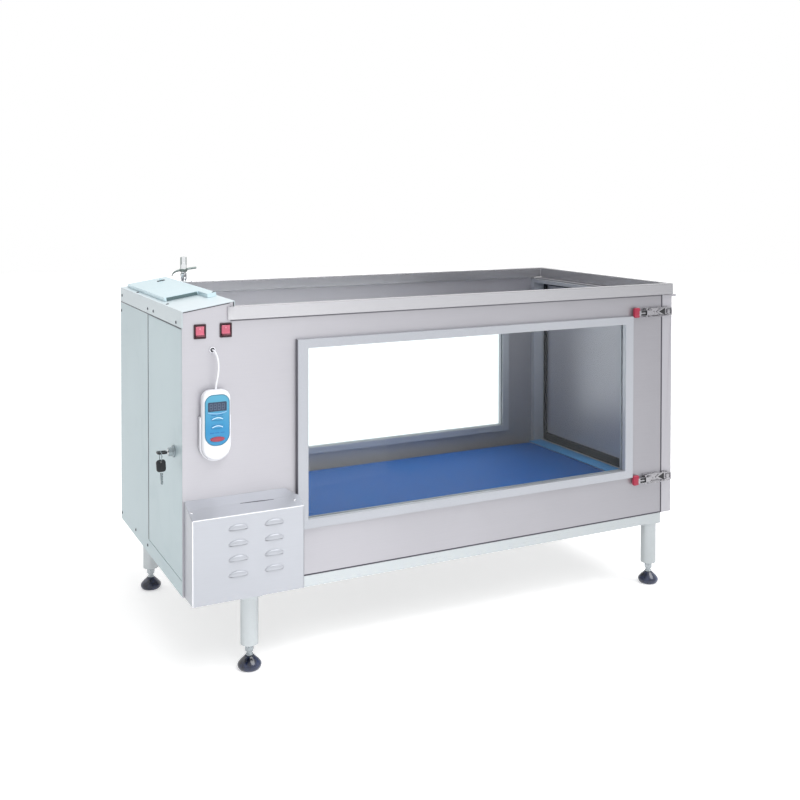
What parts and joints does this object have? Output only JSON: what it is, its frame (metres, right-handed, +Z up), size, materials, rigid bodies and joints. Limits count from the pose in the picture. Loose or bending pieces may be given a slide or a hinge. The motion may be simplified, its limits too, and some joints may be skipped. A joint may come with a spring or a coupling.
{
  "type": "dog underwater treadmill",
  "caption": "Steel underwater treadmill for dogs: windowed tub with a running belt, end door, machine cabinet, wall handset and levelling feet.",
  "frame": {"origin": "middle of the footprint on the floor, under the levelling feet", "axes": "+X along the tub towards the end door, +Y from the front with the handset to the rear, +Z up"},
  "size_m": [1.773, 0.874, 1.1158],
  "materials": {
    "steel": "brushed",
    "bright_steel": "polished",
    "cover_steel": "satin",
    "black_plastic": "gloss",
    "white_plastic": "satin",
    "label_blue": "satin",
    "red_plastic": "gloss",
    "rubber": "matte",
    "belt_blue": "matte",
    "glass_clear": "clear",
    "motor_grey": "satin",
    "foot_black": "satin",
    "casing_white": "satin"
  },
  "bodies": {
    "body": {"underframe": "steel", "front_wall": "steel", "rear_wall": "steel", "floor_pan": "steel", "bulkhead": "steel", "doorway_frame": "bright_steel", "rim_rail": "bright_steel", "cabinet_end_wall": "cover_steel", "cabinet_cover": "cover_steel", "front_window_frame": "bright_steel", "front_glass": "glass_clear", "rear_window_frame": "bright_steel", "rear_glass": "glass_clear", "hinge_leaf_body": "bright_steel", "upper_latch_base": "bright_steel", "lower_latch_base": "bright_steel", "drive_box_shelf": "steel", "louvred_cover": "steel", "drive_motor": "motor_grey", "drive_belt": "rubber", "running_belt": "belt_blue", "deck": "steel", "left_switch_bezel": "black_plastic", "right_switch_bezel": "black_plastic", "cable_grommet": "white_plastic", "handset_cord": "white_plastic", "handset_holder": "white_plastic", "faucet_column": "bright_steel", "circulation_pump": "motor_grey", "controller": "casing_white"},
    "access_door": {"access_door": "cover_steel", "lock_barrel": "bright_steel"},
    "door_key": {"door_key": "black_plastic"},
    "spare_key": {"spare_key": "black_plastic"},
    "service_lid": {"service_lid": "cover_steel"},
    "end_door": {"end_door": "steel", "door_gasket": "rubber", "hinge_leaf_door": "bright_steel", "upper_latch_catch": "bright_steel", "lower_latch_catch": "bright_steel"},
    "upper_latch_lever": {"upper_latch_lever": "red_plastic"},
    "upper_latch_bail": {"upper_latch_bail": "bright_steel"},
    "lower_latch_lever": {"lower_latch_lever": "red_plastic"},
    "lower_latch_bail": {"lower_latch_bail": "bright_steel"},
    "motor_pulley": {"motor_pulley": "motor_grey"},
    "drive_roller": {"drive_roller": "bright_steel"},
    "idler_roller": {"idler_roller": "bright_steel"},
    "left_switch_rocker": {"left_switch_rocker": "red_plastic"},
    "right_switch_rocker": {"right_switch_rocker": "red_plastic"},
    "handset": {"handset_body": "white_plastic", "handset_label": "label_blue"},
    "up_button": {"up_button": "white_plastic"},
    "down_button": {"down_button": "white_plastic"},
    "stop_button": {"stop_button": "red_plastic"},
    "faucet_lever": {"faucet_lever": "bright_steel"},
    "foot_front_left": {"foot_front_left": "foot_black"},
    "foot_rear_left": {"foot_rear_left": "foot_black"},
    "foot_front_right": {"foot_front_right": "foot_black"},
    "foot_rear_right": {"foot_rear_right": "foot_black"}
  },
  "joints": [
    {"name": "end_door_hinge", "type": "hinge", "parent": "body", "child": "end_door", "pos_m": [0.82575, 0.43, 0.603], "axis": [0, 0, 1], "range_deg": [0, 110]},
    {"name": "access_door_hinge", "type": "hinge", "parent": "body", "child": "access_door", "pos_m": [-0.8291, 0.0285, 0.63], "axis": [0, 0, -1], "range_deg": [0, 100]},
    {"name": "door_key_turn", "type": "hinge", "parent": "access_door", "child": "door_key", "pos_m": [-0.8325, -0.264, 0.623], "axis": [1, 0, 0], "range_deg": [0, 90]},
    {"name": "spare_key_swing", "type": "hinge", "parent": "door_key", "child": "spare_key", "pos_m": [-0.8735, -0.2798, 0.616], "axis": [1, 0, 0], "range_deg": [-95, 40]},
    {"name": "service_lid_hinge", "type": "hinge", "parent": "body", "child": "service_lid", "pos_m": [-0.75416, 0.3813, 1.03583], "axis": [-0.9881, 0, -0.1536], "range_deg": [0, 80]},
    {"name": "upper_latch_lever_pivot", "type": "hinge", "parent": "body", "child": "upper_latch_lever", "pos_m": [0.76325, -0.362, 0.933], "axis": [0, 0, 1], "range_deg": [0, 150]},
    {"name": "upper_latch_bail_pivot", "type": "hinge", "parent": "upper_latch_lever", "child": "upper_latch_bail", "pos_m": [0.74925, -0.362, 0.933], "axis": [0, 0, 1], "range_deg": [-150, 0]},
    {"name": "lower_latch_lever_pivot", "type": "hinge", "parent": "body", "child": "lower_latch_lever", "pos_m": [0.76325, -0.362, 0.368], "axis": [0, 0, 1], "range_deg": [0, 150]},
    {"name": "lower_latch_bail_pivot", "type": "hinge", "parent": "lower_latch_lever", "child": "lower_latch_bail", "pos_m": [0.74925, -0.362, 0.368], "axis": [0, 0, 1], "range_deg": [-150, 0]},
    {"name": "drive_roller_spin", "type": "hinge", "parent": "body", "child": "drive_roller", "pos_m": [-0.5925, 0.036, 0.296], "axis": [0, 1, 0], "continuous": true},
    {"name": "motor_spin", "type": "hinge", "parent": "body", "child": "motor_pulley", "pos_m": [-0.7575, -0.371, 0.373], "axis": [0, 1, 0], "continuous": true},
    {"name": "idler_roller_spin", "type": "hinge", "parent": "body", "child": "idler_roller", "pos_m": [0.7575, 0.036, 0.296], "axis": [0, 1, 0], "continuous": true},
    {"name": "left_switch_rock", "type": "hinge", "parent": "body", "child": "left_switch_rocker", "pos_m": [-0.7835, -0.347, 0.963], "axis": [1, 0, 0], "range_deg": [-14, 0]},
    {"name": "right_switch_rock", "type": "hinge", "parent": "body", "child": "right_switch_rocker", "pos_m": [-0.711, -0.347, 0.963], "axis": [1, 0, 0], "range_deg": [-14, 0]},
    {"name": "handset_lift", "type": "slide", "parent": "body", "child": "handset", "axis": [0, -1, 0], "range_m": [0, 0.06]},
    {"name": "up_button_press", "type": "slide", "parent": "handset", "child": "up_button", "axis": [0, 1, 0], "range_m": [0, 0.0009], "stiffness_N_per_m": 400},
    {"name": "down_button_press", "type": "slide", "parent": "handset", "child": "down_button", "axis": [0, 1, 0], "range_m": [0, 0.0009], "stiffness_N_per_m": 400},
    {"name": "stop_button_press", "type": "slide", "parent": "handset", "child": "stop_button", "axis": [0, 1, 0], "range_m": [0, 0.0009], "stiffness_N_per_m": 400},
    {"name": "faucet_lever_turn", "type": "hinge", "parent": "body", "child": "faucet_lever", "pos_m": [-0.6195, 0.423, 1.068], "axis": [0, 0, 1], "range_deg": [-45, 45]},
    {"name": "foot_front_left_level", "type": "slide", "parent": "body", "child": "foot_front_left", "axis": [0, 0, -1], "range_m": [0, 0.04]},
    {"name": "foot_rear_left_level", "type": "slide", "parent": "body", "child": "foot_rear_left", "axis": [0, 0, -1], "range_m": [0, 0.04]},
    {"name": "foot_front_right_level", "type": "slide", "parent": "body", "child": "foot_front_right", "axis": [0, 0, -1], "range_m": [0, 0.04]},
    {"name": "foot_rear_right_level", "type": "slide", "parent": "body", "child": "foot_rear_right", "axis": [0, 0, -1], "range_m": [0, 0.04]}
  ],
  "couplings": [
    {"joint": "upper_latch_bail_pivot", "follows": "upper_latch_lever_pivot", "ratio": -1},
    {"joint": "lower_latch_bail_pivot", "follows": "lower_latch_lever_pivot", "ratio": -1},
    {"joint": "motor_spin", "follows": "drive_roller_spin", "ratio": 1.4333},
    {"joint": "idler_roller_spin", "follows": "drive_roller_spin", "ratio": 1}
  ]
}
